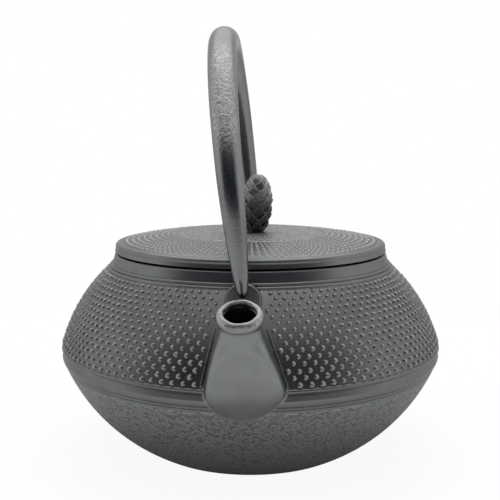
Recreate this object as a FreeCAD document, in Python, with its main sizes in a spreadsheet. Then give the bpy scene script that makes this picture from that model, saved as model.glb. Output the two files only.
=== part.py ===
import FreeCAD, Part
import math
import os
import Sketcher

# A cast iron teapot with a stub spout, a lid with a pine cone knob, a swinging bail and a leaf strainer.
# Frame: +Z up, origin at the centre of the flat base, the spout pours towards -Y. Millimetres and degrees.

X_AXIS = FreeCAD.Vector(1, 0, 0)
Y_AXIS = FreeCAD.Vector(0, 1, 0)
Z_AXIS = FreeCAD.Vector(0, 0, 1)

DIMENSIONS = {
    # Pot shell: flat base, round belly, plain belt, ridge at the waist, shoulder
    "base_radius": 48.4,
    "belly_bulge": 4.4,
    "belt_tall": 8.25,
    "belt_foot_inset": 3.1,
    "belt_top_inset": 0.4,
    "waist_radius": 88.5,
    "waist_height": 48.3,
    "ridge_tall": 2.9,
    "ridge_proud": 0.9,
    "shoulder_bulge": 2.8,
    "wall": 3.5,
    "floor_thickness": 4.0,
    # Neck: two mouldings, then a plain band that leans in
    "neck_radius": 64.3,
    "neck_foot_height": 87.0,
    "neck_height": 4.5,
    "neck_lean": 1.2,
    "moulding_step": 1.2,
    "moulding_rise": 1.4,
    "moulding_bulge": 0.45,
    # Seats inside the neck, for the lid above and the strainer below it
    "throat_radius": 53.4,
    "strainer_seat_width": 3.0,
    "lid_seat_width": 2.2,
    "lid_seat_depth": 2.5,
    "strainer_seat_drop": 1.6,
    "throat_depth": 4.0,
    # Spout: measured back from the mouth along its axis
    "mouth_overhang": 8.5,
    "mouth_rise": 33.7,
    "spout_elevation": 64.0,
    "spout_length": 46.5,
    "root_half_width": 19.0,
    "root_half_depth": 8.4,
    "flare_distance": 28.0,
    "flare_half_width": 14.0,
    "flare_half_depth": 11.5,
    "spout_neck_distance": 8.0,
    "spout_neck_radius": 8.1,
    "lip_radius": 8.9,
    "lip_inroll": 0.2,
    "lip_tall": 2.0,
    "lip_taper": 1.2,
    "root_shift": 1.6,
    "root_tilt_angle": 3.0,
    "bore_radius": 6.2,
    "bore_root_half_width": 15.0,
    "bore_root_half_depth": 7.0,
    "spout_wall": 3.2,
    # Lugs for the bail, in front of and behind the neck
    "hinge_drop": 2.8,
    "lug_stand_off": 7.7,
    "lug_thickness": 4.0,
    "lug_radius": 7.4,
    "lug_drop": 3.4,
    "lug_edge": 1.2,
    # Bail: two legs under a half circle, round in section and tapered to the hooks
    "hook_radius": 1.7,
    "hook_clearance": 0.1,
    "hook_end_gap": 0.5,
    "bail_foot_radius": 2.2,
    "bail_ankle_radius": 3.5,
    "bail_ankle_rise": 11.5,
    "bail_shin_radius": 4.5,
    "bail_haunch_radius": 5.6,
    "bail_crown_radius": 6.6,
    "bail_leg_gap": 1.5,
    "bail_leg_length": 28.2,
    "bail_lean_angle": 6.3,
    # Lid: domed plate, rounded rim over the neck, seat ring inside it
    "lid_overhang": 0.1,
    "lid_rim_gap": 0.8,
    "lid_rim_thickness": 3.9,
    "lid_rim_round": 2.0,
    "lid_rim_bulge": 0.7,
    "lid_crown_rise": 4.0,
    "lid_dome_bulge": 1.0,
    "lid_plate": 3.4,
    "lid_boss_radius": 9.0,
    "lid_clearance": 0.4,
    "seat_ring_width": 3.0,
    # Pine cone knob and the washer its shank is peened over
    "knob_offset": 2.0,
    "knob_lean_angle": 4.0,
    "knob_height": 26.3,
    "knob_radius": 7.6,
    "knob_foot_radius": 5.0,
    "knob_scale_relief": 1.3,
    "knob_tip_radius": 1.6,
    "shank_radius": 2.5,
    "shank_clearance": 0.1,
    "shank_grip": 2.9,
    "knob_play": 0.1,
    "washer_radius": 6.0,
    "washer_thickness": 0.8,
    "rivet_radius": 3.8,
    "rivet_thickness": 1.2,
    # Leaf strainer of thin steel sheet
    "strainer_clearance": 0.4,
    "strainer_flange": 0.8,
    "strainer_sheet": 0.5,
    "strainer_gap": 2.2,
    "strainer_depth": 45.0,
    "strainer_taper": 5.0,
    "strainer_lip_inset": 1.2,
    # How far a form that cuts an opening stands clear of the faces it opens
    "cut_over": 1.0,
}

QUARTER_TURN = 90
HALF_TURN = 180

# Places on the bail's half circle, in degrees above its spring, where its thickness is set
BAIL_HAUNCH_ANGLE = 30
BAIL_ARM_ANGLE = 60

# How far the spout's flare is askew, as a share of its root
FLARE_ASKEW = 0.5

# Whorls of scales on the pine cone, by their height as a share of the cone's
KNOB_SCALES_ROUND = 7
KNOB_WHORLS = (0.0, 0.13, 0.28, 0.43, 0.57, 0.69, 0.79, 0.87, 0.94, 1.0)
KNOB_WIDEST = 0.48
SCALE_PEAK = 0.68

doc = FreeCAD.newDocument("teapot")
sheet = doc.addObject("Spreadsheet::Sheet", "dims")
for row, (alias, size) in enumerate(DIMENSIONS.items(), start=1):
    sheet.set(f"A{row}", alias)
    sheet.set(f"B{row}", str(size))
    sheet.setAlias(f"B{row}", alias)
doc.recompute()


def value(expression):
    """The number that an expression of the sheet's cells gives now."""
    return float(sheet.evalExpression(expression))


def bind(target, **expressions):
    """Ties properties of an object to expressions of the sheet's cells."""
    for name, expression in expressions.items():
        target.setExpression(name, expression)


def place(target, y, z, turn_about_x=0.0):
    """Ties an object's place in the YZ plane to the sheet and turns it about X."""
    target.Placement.Rotation = FreeCAD.Rotation(X_AXIS, turn_about_x)
    target.setExpression("Placement.Base.y", y)
    target.setExpression("Placement.Base.z", z)


def origin_plane(body, role):
    """The body's own origin plane of that role."""
    return next(plane for plane in body.Origin.OriginFeatures if plane.Role == role)


def edge_between(start, end, bulge):
    """A line, or an arc that bows by bulge to the left of its travel (to the right if negative)."""
    if not bulge:
        return Part.LineSegment(start, end), True
    chord = end - start
    radius = chord.Length ** 2 / (8 * abs(bulge)) + abs(bulge) / 2
    left = FreeCAD.Vector(-chord.y, chord.x, 0).normalize()
    centre = (start + end) * 0.5 + left * (bulge - math.copysign(radius, bulge))
    forward = bulge < 0
    first, last = (start, end) if forward else (end, start)
    begin = math.atan2(first.y - centre.y, first.x - centre.x)
    finish = math.atan2(last.y - centre.y, last.x - centre.x)
    circle = Part.Circle(centre, Z_AXIS, radius)
    return Part.ArcOfCircle(circle, begin, finish if finish > begin else finish + 2 * math.pi), forward


def half_section(body, corners):
    """A closed outline on the body's XZ plane, every corner tied to the sheet.

    A corner is (radius, height) or (radius, height, bulge), all expressions; the bulge makes the side
    to the next corner an arc that bows that far out of its chord, to the left of its travel.
    """
    sketch = body.newObject("Sketcher::SketchObject", body.Name + "_section")
    sketch.AttachmentSupport = (origin_plane(body, "XZ_Plane"), "")
    sketch.MapMode = "FlatFace"
    points = [FreeCAD.Vector(value(corner[0]), value(corner[1]), 0) for corner in corners]
    following = corners[1:] + corners[:1]
    ends = []
    for index, (corner, after) in enumerate(zip(corners, following)):
        bow = corner[2] if len(corner) > 2 else "0"
        edge, forward = edge_between(points[index], points[(index + 1) % len(points)], value(bow))
        sketch.addGeometry(edge)
        ends.append((1, 2) if forward else (2, 1))
        if value(bow):
            across = f"({after[0]} - ({corner[0]}))^2 + ({after[1]} - ({corner[1]}))^2"
            radius = f"({across}) / (8 * abs({bow})) + abs({bow}) / 2"
            tie(sketch, ("Radius", index, value(radius)), radius)
    for index, corner in enumerate(corners):
        before = index - 1 if index else len(corners) - 1
        meeting = (before, ends[before][1], index, ends[index][0])
        sketch.addConstraint(Sketcher.Constraint("Coincident", *meeting))
        for kind, axis, expression in (("DistanceX", -2, corner[0]), ("DistanceY", -1, corner[1])):
            if expression == "0":
                sketch.addConstraint(Sketcher.Constraint("PointOnObject", index, ends[index][0], axis))
            else:
                tie(sketch, (kind, -1, 1, index, ends[index][0], value(expression)), expression)
    return sketch


def tie(sketch, constraint, expression):
    """Adds a dimension to a sketch and binds it to an expression."""
    number = sketch.addConstraint(Sketcher.Constraint(*constraint))
    sketch.setExpression(f"Constraints[{number}]", expression)


def turned(name, corners):
    """A body turned about Z from a half section."""
    body = doc.addObject("PartDesign::Body", name)
    sketch = half_section(body, corners)
    turn = body.newObject("PartDesign::Revolution", name + "_turn")
    turn.Profile = sketch
    turn.ReferenceAxis = (sketch, ["V_Axis"])
    turn.Angle = 360
    sketch.Visibility = False
    return body


def primitive(kind, name, **expressions):
    """A Part primitive with its sizes tied to the sheet."""
    shape = doc.addObject(kind, name)
    bind(shape, **expressions)
    return shape


def loft(name, sections):
    """A smooth solid through closed sections."""
    solid = doc.addObject("Part::Loft", name)
    solid.Sections = sections
    solid.Solid = True
    return solid


def fuse(name, shapes):
    """Several shapes made one solid."""
    joined = doc.addObject("Part::MultiFuse", name)
    joined.Shapes = shapes
    joined.Refine = True
    return joined


def slab(name, floor, ceiling):
    """A square block about the axis from one height to another, wider than the whole pot."""
    block = primitive("Part::Box", name, Length=f"2 * ({MOUTH_REACH})", Width=f"2 * ({MOUTH_REACH})",
                      Height=f"{ceiling} - ({floor})")
    place(block, f"-({MOUTH_REACH})", floor)
    block.setExpression("Placement.Base.x", f"-({MOUTH_REACH})")
    return block


def within(name, base, room):
    """The share of a shape that lies in another."""
    share = doc.addObject("Part::MultiCommon", name)
    share.Shapes = [base, room]
    share.Refine = True
    return share


def cut(name, base, tool):
    """A shape with another taken out of it."""
    rest = doc.addObject("Part::Cut", name)
    rest.Base = base
    rest.Tool = tool
    rest.Refine = True
    return rest


# Heights and radii that several pieces share
BELT_FOOT = "dims.waist_radius - dims.belt_foot_inset"
BELT_TOP = "dims.waist_radius - dims.belt_top_inset"
RIDGE_FOOT = "dims.waist_height - dims.ridge_tall / 2"
RIDGE_HEAD = "dims.waist_height + dims.ridge_tall / 2"
BELT_FOOT_HEIGHT = RIDGE_FOOT + " - dims.belt_tall"
RIDGE_BACK = "dims.waist_radius - dims.ridge_proud"
SHOULDER_TOP = "dims.neck_foot_height - 2 * dims.moulding_rise"
SHOULDER_END = "dims.neck_radius + 2 * dims.moulding_step"
NECK_TOP = "dims.neck_foot_height + dims.neck_height"
NECK_BRIM = "dims.neck_radius - dims.neck_lean"
HOLLOW_TOP = NECK_TOP + " + dims.cut_over"
LID_SEAT = NECK_TOP + " - dims.lid_seat_depth"
STRAINER_SEAT = LID_SEAT + " - dims.strainer_seat_drop"
STRAINER_SEAT_RADIUS = "dims.throat_radius + dims.strainer_seat_width"
LID_SEAT_RADIUS = STRAINER_SEAT_RADIUS + " + dims.lid_seat_width"
THROAT_FOOT = STRAINER_SEAT + " - dims.throat_depth"
MOUTH_REACH = "dims.waist_radius + dims.mouth_overhang"
MOUTH_HEIGHT = "dims.waist_height + dims.mouth_rise"
LUG_REACH = "dims.neck_radius + dims.lug_stand_off"
HINGE = "dims.neck_foot_height - dims.hinge_drop"
LUG_CENTRE = HINGE + " - dims.lug_drop"
BAIL_SPAN = LUG_REACH + " + dims.bail_leg_gap + dims.bail_foot_radius"


def pot_outside():
    """The outer form of the pot, filled: base, belly, belt, ridge, shoulder, mouldings and neck."""
    return turned("pot_outside", [
        ("0", "0"),
        ("dims.base_radius", "0", "-dims.belly_bulge"),
        (BELT_FOOT, BELT_FOOT_HEIGHT),
        (BELT_TOP, RIDGE_FOOT, "-(dims.ridge_proud + dims.belt_top_inset) / 2"),
        (RIDGE_BACK, RIDGE_HEAD, "-dims.shoulder_bulge"),
        (SHOULDER_END, SHOULDER_TOP, "-dims.moulding_bulge"),
        ("dims.neck_radius + dims.moulding_step", "dims.neck_foot_height - dims.moulding_rise",
         "-dims.moulding_bulge"),
        ("dims.neck_radius", "dims.neck_foot_height"),
        (NECK_BRIM, NECK_TOP),
        ("0", NECK_TOP),
    ])


def pot_inside():
    """The hollow of the pot, one wall inside it, with the throat and the two seats above it."""
    return turned("pot_inside", [
        ("0", "dims.floor_thickness"),
        ("dims.base_radius", "dims.floor_thickness", "-dims.belly_bulge"),
        (BELT_FOOT + " - dims.wall", BELT_FOOT_HEIGHT),
        (RIDGE_BACK + " - dims.wall", "dims.waist_height", "-dims.shoulder_bulge"),
        (SHOULDER_END + " - dims.wall", SHOULDER_TOP + " - dims.wall"),
        ("dims.throat_radius", THROAT_FOOT),
        ("dims.throat_radius", STRAINER_SEAT),
        (STRAINER_SEAT_RADIUS, STRAINER_SEAT),
        (STRAINER_SEAT_RADIUS, LID_SEAT),
        (LID_SEAT_RADIUS, LID_SEAT),
        (LID_SEAT_RADIUS, HOLLOW_TOP),
        ("0", HOLLOW_TOP),
    ])


def spout_section(name, distance, half_width, half_depth, askew=0.0):
    """An ellipse square to the spout's axis, back from the mouth, and askew by a share of the root's."""
    ring = primitive("Part::Ellipse", name, MajorRadius=half_width, MinorRadius=half_depth)
    along_spout(ring, distance)
    tilt = FreeCAD.Rotation(Y_AXIS, -askew * value("dims.root_tilt_angle"))
    ring.Placement.Rotation = tilt * ring.Placement.Rotation
    ring.setExpression("Placement.Base.x", f"{askew} * dims.root_shift")
    return ring


def along_spout(target, distance):
    """Places an object on the spout's axis, square to it, at a distance back from the mouth."""
    place(target,
          f"({distance}) * cos(dims.spout_elevation) - ({MOUTH_REACH})",
          f"{MOUTH_HEIGHT} - ({distance}) * sin(dims.spout_elevation)",
          QUARTER_TURN - value("dims.spout_elevation"))


def spout_form(name, root, flare, neck, mouth_distance, askew):
    """A flared cone along the spout's axis: root ellipse, flare ellipse, round neck, round mouth."""
    return loft(name, [
        spout_section(name + "_root", "dims.spout_length", *root, askew),
        spout_section(name + "_flare", "dims.flare_distance", *flare, askew * FLARE_ASKEW),
        spout_section(name + "_neck", "dims.spout_neck_distance", neck, neck),
        spout_section(name + "_mouth", mouth_distance, neck, neck),
    ])


def spout_outside():
    """The outer form of the spout, set a little askew on the belly, with a collar under its lip."""
    neck = "dims.spout_neck_radius"
    horn = spout_form("spout_horn", ("dims.root_half_width", "dims.root_half_depth"),
                      ("dims.flare_half_width", "dims.flare_half_depth"), neck, "0", 1.0)
    collar = primitive("Part::Cylinder", "spout_collar", Radius="dims.lip_radius", Height="dims.lip_tall")
    along_spout(collar, "dims.lip_tall")
    taper = primitive("Part::Cone", "spout_taper", Radius1=neck, Radius2="dims.lip_radius",
                      Height="dims.lip_taper")
    along_spout(taper, "dims.lip_tall + dims.lip_taper")
    return fuse("spout_outside", [horn, collar, taper])


def spout_bore():
    """The way the tea takes, from the hollow out through the mouth."""
    return spout_form("spout_bore", ("dims.bore_root_half_width", "dims.bore_root_half_depth"),
                      ("dims.flare_half_width - dims.spout_wall", "dims.flare_half_depth - dims.spout_wall"),
                      "dims.bore_radius", "-dims.lip_radius", 0.0)


def spout_lip():
    """The rolled lip round the mouth."""
    lip = primitive("Part::Torus", "spout_lip",
                    Radius1="(dims.lip_radius + dims.bore_radius - dims.lip_inroll) / 2",
                    Radius2="(dims.lip_radius - dims.bore_radius + dims.lip_inroll) / 2")
    along_spout(lip, "0")
    return lip


def lug(name, side):
    """A tab with a round head, rooted in the shoulder beside the neck, its edges softened."""
    head = primitive("Part::Cylinder", name + "_head", Radius="dims.lug_radius", Height="dims.lug_thickness")
    place(head, f"{side} * ({LUG_REACH})", LUG_CENTRE, QUARTER_TURN * side)
    stem = primitive("Part::Box", name + "_stem", Length="2 * dims.lug_radius", Width="dims.lug_thickness",
                     Height=f"{LUG_CENTRE} - dims.waist_height")
    inner_face = f"{LUG_REACH} - dims.lug_thickness"
    place(stem, inner_face if side > 0 else f"-({LUG_REACH})", "dims.waist_height")
    stem.setExpression("Placement.Base.x", "-dims.lug_radius")
    blank = fuse(name + "_blank", [head, stem])
    doc.recompute()
    tab = doc.addObject("Part::Fillet", name)
    tab.Base = blank
    edge_round = value("dims.lug_edge")
    tab.Edges = [(number, edge_round, edge_round) for number, edge in enumerate(blank.Shape.Edges, start=1)
                 if edge.BoundBox.YLength < edge_round < edge.BoundBox.ZLength]
    return tab


def lug_hole(name, side):
    """The hole that a hook of the bail turns in, through one lug."""
    hole = primitive("Part::Cylinder", name, Radius="dims.hook_radius + dims.hook_clearance",
                     Height="dims.lug_thickness + 2 * dims.cut_over")
    place(hole, f"{side} * ({LUG_REACH} + dims.cut_over)", HINGE, QUARTER_TURN * side)
    return hole


def pot():
    """The one casting as three solids that meet face to face: belly, shoulder from the ridge up, spout."""
    outside = pot_outside()
    bore = spout_bore()
    solid = fuse("pot_solid", [outside, lug("front_lug", -1), lug("rear_lug", 1)])
    spaces = fuse("pot_spaces", [pot_inside(), bore, lug_hole("front_hole", -1), lug_hole("rear_hole", 1)])
    shell = cut("pot_shell", solid, spaces)
    horn = cut("spout_shell", spout_outside(), fuse("spout_spaces", [outside, bore]))
    return [
        within("pot_belly", shell, slab("below_ridge", "-dims.cut_over", RIDGE_FOOT)),
        within("pot_shoulder", shell, slab("from_ridge_up", RIDGE_FOOT, HOLLOW_TOP)),
        fuse("spout", [horn, spout_lip()]),
    ]


def bail_ring(name, y, z, turn, radius):
    """A round section of the bail, square to its line."""
    ring = primitive("Part::Circle", name, Radius=radius)
    place(ring, y, z, turn)
    return ring


def handle():
    """The bail: one tapered bar from hook to hook, with a hook turned in at each foot."""
    spring = HINGE + " + dims.bail_leg_length"
    stations = (
        ("foot", HINGE, "dims.bail_foot_radius"),
        ("ankle", HINGE + " + dims.bail_ankle_rise", "dims.bail_ankle_radius"),
        ("shin", spring, "dims.bail_shin_radius"),
    )
    bows = (
        (BAIL_HAUNCH_ANGLE, "dims.bail_haunch_radius"),
        (BAIL_ARM_ANGLE, "(dims.bail_haunch_radius + dims.bail_crown_radius) / 2"),
    )
    rings = {}
    for side in (-1, 1):
        for place_name, z, radius in stations:
            turn = 0 if side < 0 else HALF_TURN
            rings[side, place_name] = bail_ring(f"bail_{place_name}_{side + 1}", f"{side} * ({BAIL_SPAN})",
                                                z, turn, radius)
        for angle, radius in bows:
            turn = -angle if side < 0 else HALF_TURN + angle
            rings[side, angle] = bail_ring(f"bail_bow_{angle}_{side + 1}",
                                           f"{side} * ({BAIL_SPAN}) * cos({angle})",
                                           f"{spring} + ({BAIL_SPAN}) * sin({angle})", turn, radius)
    crown = bail_ring("bail_crown", "0", f"{spring} + {BAIL_SPAN}", -QUARTER_TURN, "dims.bail_crown_radius")
    order = ("foot", "ankle", "shin", BAIL_HAUNCH_ANGLE, BAIL_ARM_ANGLE)
    line = [rings[-1, stop] for stop in order] + [crown] + [rings[1, stop] for stop in reversed(order)]
    bail = fuse("handle", [loft("bail_bar", line)] + [piece for side in (-1, 1) for piece in hook(side)])
    pivot = FreeCAD.Vector(0, 0, value(HINGE))
    lean = FreeCAD.Rotation(Y_AXIS, -value("dims.bail_lean_angle"))
    bail.Placement = FreeCAD.Placement(FreeCAD.Vector(), lean, pivot)
    return bail


def hook(side):
    """The pin that turns in a lug, and the round elbow where the leg bends into it."""
    name = f"bail_{side + 1}"
    elbow = primitive("Part::Sphere", name + "_elbow", Radius="dims.bail_foot_radius")
    place(elbow, f"{side} * ({BAIL_SPAN})", HINGE)
    through = f"{BAIL_SPAN} - ({LUG_REACH}) + dims.lug_thickness + dims.hook_end_gap"
    pin = primitive("Part::Cylinder", name + "_pin", Radius="dims.hook_radius", Height=through)
    place(pin, f"{side} * ({BAIL_SPAN})", HINGE, QUARTER_TURN * side)
    return elbow, pin


LID_FLOOR = NECK_TOP + " + dims.lid_rim_gap"
LID_RADIUS = NECK_BRIM + " + dims.lid_overhang"
LID_SHOULDER = LID_FLOOR + " + dims.lid_rim_thickness"
LID_CROWN = LID_SHOULDER + " + dims.lid_crown_rise"
LID_CEILING = LID_CROWN + " - dims.lid_plate"
SEAT_RING = LID_SEAT_RADIUS + " - dims.lid_clearance"
SEAT_RING_INSIDE = SEAT_RING + " - dims.seat_ring_width"
SHANK_HOLE = "dims.shank_radius + dims.shank_clearance"


def at_knob(target, height):
    """Ties an object to the knob's axis, which stands a little beside the lid's, at a height."""
    place(target, "0", height)
    target.setExpression("Placement.Base.x", "dims.knob_offset")


def lid():
    """The domed lid: a boss with the knob's hole, a rounded rim and the ring that sits in the neck."""
    blank = turned("lid_blank", [
        ("0", LID_CEILING),
        ("dims.lid_boss_radius", LID_CEILING, "dims.lid_dome_bulge"),
        (SEAT_RING_INSIDE, LID_SHOULDER + " - dims.lid_plate"),
        (SEAT_RING_INSIDE, LID_SEAT),
        (SEAT_RING, LID_SEAT),
        (SEAT_RING, LID_FLOOR),
        (LID_RADIUS, LID_FLOOR),
        (LID_RADIUS, LID_SHOULDER + " - dims.lid_rim_round", "-dims.lid_rim_bulge"),
        (LID_RADIUS + " - dims.lid_rim_round", LID_SHOULDER, "-dims.lid_dome_bulge"),
        ("dims.lid_boss_radius", LID_CROWN),
        ("0", LID_CROWN),
    ])
    hole = primitive("Part::Cylinder", "lid_hole", Radius=SHANK_HOLE,
                     Height="dims.lid_plate + 2 * dims.cut_over")
    at_knob(hole, LID_CEILING + " - dims.cut_over")
    return cut("lid", blank, hole)


KNOB_SEAT = LID_CROWN + " + dims.knob_play"
WASHER_FLOOR = LID_CEILING + " - dims.washer_thickness"


def knob_washer():
    """The flat washer under the lid."""
    washer = turned("knob_washer", [
        (SHANK_HOLE, WASHER_FLOOR),
        ("dims.washer_radius", WASHER_FLOOR),
        ("dims.washer_radius", LID_CEILING),
        (SHANK_HOLE, LID_CEILING),
    ])
    at_knob(washer, "0")
    return washer


def cone_radius(share):
    """The pine cone's radius at a share of its height: an egg, widest a little below the middle."""
    widest = value("dims.knob_radius")
    end, edge = (0.0, "dims.knob_foot_radius") if share < KNOB_WIDEST else (1.0, "dims.knob_tip_radius")
    reach = abs(end - KNOB_WIDEST) / math.sqrt(1 - (value(edge) / widest) ** 2)
    return widest * math.sqrt(1 - ((share - KNOB_WIDEST) / reach) ** 2)


def cone_point(whorl, step, share, relief):
    """A point of the pine cone: whorls are half a scale apart, relief stands out of its radius."""
    angle = 2 * math.pi * (step + 0.5 * (whorl % 2)) / KNOB_SCALES_ROUND
    radius = cone_radius(share) + relief
    height = share * value("dims.knob_height")
    return FreeCAD.Vector(radius * math.cos(angle), radius * math.sin(angle), height)


def pine_cone():
    """A closed shell of diamond scales, each a low pyramid with its peak pushed towards its upper corner."""
    relief = value("dims.knob_scale_relief")
    rings = [[cone_point(whorl, step, share, -relief) for step in range(KNOB_SCALES_ROUND)]
             for whorl, share in enumerate(KNOB_WHORLS)]
    last = len(rings) - 1
    facets = [list(reversed(rings[0])), rings[last]]
    for step in range(KNOB_SCALES_ROUND):
        after = (step + 1) % KNOB_SCALES_ROUND
        below = rings[last - 1][(step + last % 2) % KNOB_SCALES_ROUND]
        facets.append([rings[0][step], rings[0][after], rings[1][step]])
        facets.append([below, rings[last][after], rings[last][step]])
    for whorl in range(last - 1):
        for step in range(KNOB_SCALES_ROUND):
            shift = whorl % 2
            lower = rings[whorl][step]
            right = rings[whorl + 1][(step + shift) % KNOB_SCALES_ROUND]
            left = rings[whorl + 1][(step + shift - 1) % KNOB_SCALES_ROUND]
            upper = rings[whorl + 2][step]
            share = KNOB_WHORLS[whorl] + SCALE_PEAK * (KNOB_WHORLS[whorl + 2] - KNOB_WHORLS[whorl])
            peak = cone_point(whorl, step, share, 0.0)
            corners = (lower, right, upper, left)
            facets += [[corners[side], corners[(side + 1) % 4], peak] for side in range(4)]
    faces = [Part.Face(Part.makePolygon(facet + facet[:1])) for facet in facets]
    return Part.Solid(Part.Shell(faces))


def lid_knob():
    """The pine cone with its shank through the lid and the head that is peened over the washer."""
    cone = doc.addObject("Part::Feature", "pine_cone")
    cone.Shape = pine_cone()
    lean = value("dims.knob_lean_angle")
    foot = value(KNOB_SEAT) + value("dims.knob_foot_radius") * math.sin(math.radians(lean))
    cone.Placement = FreeCAD.Placement(FreeCAD.Vector(value("dims.knob_offset"), 0, foot),
                                       FreeCAD.Rotation(Y_AXIS, lean))
    rivet_floor = f"{WASHER_FLOOR} - dims.knob_play - dims.rivet_thickness"
    shank = primitive("Part::Cylinder", "shank", Radius="dims.shank_radius",
                      Height=f"{KNOB_SEAT} - ({rivet_floor}) + dims.shank_grip")
    at_knob(shank, rivet_floor)
    head = primitive("Part::Cylinder", "rivet_head", Radius="dims.rivet_radius",
                     Height="dims.rivet_thickness")
    at_knob(head, rivet_floor)
    return fuse("lid_knob", [cone, shank, head])


FLANGE_TOP = STRAINER_SEAT + " + dims.strainer_flange"
BASKET_RADIUS = "dims.throat_radius - dims.strainer_gap"
BASKET_FLOOR = STRAINER_SEAT + " - dims.strainer_depth"
BASKET_FOOT = BASKET_RADIUS + " - dims.strainer_taper"


def strainer_rim():
    """The flat ring that hangs the strainer on its seat."""
    inside = BASKET_RADIUS + " - dims.strainer_sheet - dims.strainer_lip_inset"
    outside = STRAINER_SEAT_RADIUS + " - dims.strainer_clearance"
    return turned("strainer_rim", [
        (inside, STRAINER_SEAT),
        (outside, STRAINER_SEAT),
        (outside, FLANGE_TOP),
        (inside, FLANGE_TOP),
    ])


def strainer_wall():
    """The tapered wall of the basket, butted to the ring above and the floor below."""
    return turned("strainer_wall", [
        (BASKET_FOOT + " - dims.strainer_sheet", BASKET_FLOOR),
        (BASKET_FOOT, BASKET_FLOOR),
        (BASKET_RADIUS, STRAINER_SEAT),
        (BASKET_RADIUS + " - dims.strainer_sheet", STRAINER_SEAT),
    ])


def strainer_floor():
    """The disc that closes the basket."""
    return turned("strainer_floor", [
        ("0", BASKET_FLOOR + " - dims.strainer_sheet"),
        (BASKET_FOOT, BASKET_FLOOR + " - dims.strainer_sheet"),
        (BASKET_FOOT, BASKET_FLOOR),
        ("0", BASKET_FLOOR),
    ])


PIECES = [
    *pot(), lid(), lid_knob(), knob_washer(), handle(),
    strainer_rim(), strainer_wall(), strainer_floor(),
]
doc.recompute()

for item in doc.Objects:
    if "Invalid" in item.State or "Error" in item.State:
        raise RuntimeError(f"{item.Label} failed: {item.State}")
for piece in PIECES:
    if piece.Shape.isNull() or not piece.Shape.isValid():
        raise RuntimeError(f"{piece.Label} has no sound shape")

os.makedirs("parts", exist_ok=True)
for piece in PIECES:
    piece.Shape.exportStep(f"parts/{piece.Label}.step")
    print(piece.Label, "solids", len(piece.Shape.Solids), "volume", round(piece.Shape.Volume, 1))
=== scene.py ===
import math

import bpy
import numpy as np
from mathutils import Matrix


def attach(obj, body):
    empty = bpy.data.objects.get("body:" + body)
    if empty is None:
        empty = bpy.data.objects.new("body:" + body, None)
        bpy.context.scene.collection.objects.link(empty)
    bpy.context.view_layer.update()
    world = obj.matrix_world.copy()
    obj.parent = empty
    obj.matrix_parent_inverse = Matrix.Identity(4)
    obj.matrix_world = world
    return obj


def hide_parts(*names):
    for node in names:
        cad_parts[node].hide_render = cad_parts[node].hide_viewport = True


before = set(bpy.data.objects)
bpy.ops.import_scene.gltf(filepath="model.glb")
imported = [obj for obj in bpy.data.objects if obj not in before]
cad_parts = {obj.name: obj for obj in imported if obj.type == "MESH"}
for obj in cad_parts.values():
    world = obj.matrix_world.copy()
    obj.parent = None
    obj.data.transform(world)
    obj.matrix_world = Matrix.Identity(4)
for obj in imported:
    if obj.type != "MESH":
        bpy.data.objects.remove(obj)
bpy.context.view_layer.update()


# Pot shell. One thin wall of sand-cast iron under satin black lacquer, turned about the pot's axis. From the
# base up: a rough belly, a belt with fine lines, a thin ridge, the shoulder, two mouldings, and the neck. Its
# brim steps down inside to the lid's seat and the strainer's.
MM = 0.001
BASE_RADIUS = 48.4 * MM
BELT_FOOT = np.array([85.4, 38.6]) * MM
BELT_LINE = np.array([87.3, 42.7]) * MM
BELT_EDGE = np.array([88.1, 45.0]) * MM
RIDGE_FOOT = np.array([87.6, 47.9]) * MM
RIDGE_HEAD = np.array([87.6, 49.75]) * MM
SHOULDER_TOP = np.array([66.7, 84.2]) * MM
MOULDING = np.array([-1.2, 1.4]) * MM
NECK_TOP = np.array([63.1, 91.5]) * MM
BELLY_BULGE = 4.4 * MM
BELT_BULGE = 0.10 * MM
RIDGE_BULGE = 0.70 * MM
SHOULDER_BULGE = 2.8 * MM
MOULDING_BULGE = 0.55 * MM
BRIM_ROUND = 0.8 * MM
WALL = 3.5 * MM
FLOOR = 4.0 * MM
LID_SEAT = np.array([58.6, 89.0]) * MM
STRAINER_SEAT = np.array([56.4, 87.4]) * MM
THROAT = np.array([53.4, 83.4]) * MM
# Height, half width and depth of each line cut round the belt
GROOVES = np.array([[47.7, 0.30, 0.25], [42.0, 0.34, 0.32], [40.6, 0.34, 0.28]]) * MM
STONE_TOP = 39.6 * MM
SHELL_COLUMNS = 300


def arc(start, end, bulge, count, crowd=1.0):
    """Points of the circle arc from start to just short of end that bows by bulge to the right of its travel.

    With half angle a = 2 atan(2 bulge / chord) and radius R = chord / (2 sin a), the point at t in [-1, 1)
    lies R sin(a t) along the chord from its middle and R (cos(a t) - cos a) out of it.
    """
    start, end = np.asarray(start, float), np.asarray(end, float)
    share = 1 - (1 - np.arange(count) / count) ** crowd
    chord = end - start
    length = math.hypot(*chord)
    if bulge == 0:
        return start + share[:, None] * chord
    half = 2 * math.atan(2 * bulge / length)
    radius = length / (2 * math.sin(half))
    along = 0.5 + np.sin(half * (2 * share - 1)) * radius / length
    out = radius * (np.cos(half * (2 * share - 1)) - math.cos(half))
    right = np.array([chord[1], -chord[0]]) / length
    return start + along[:, None] * chord + out[:, None] * right


def grid_faces(rows, columns, closed):
    """Quads of a grid whose columns run round; closed joins the last row to the first."""
    row = np.arange(rows if closed else rows - 1)[:, None]
    column = np.arange(columns)[None, :]
    above, beside = (row + 1) % rows, (column + 1) % columns
    here, over = row * columns, above * columns
    quads = [here + column, here + beside, over + beside, over + column]
    return np.stack(np.broadcast_arrays(*quads), axis=-1).reshape(-1, 4)


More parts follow.
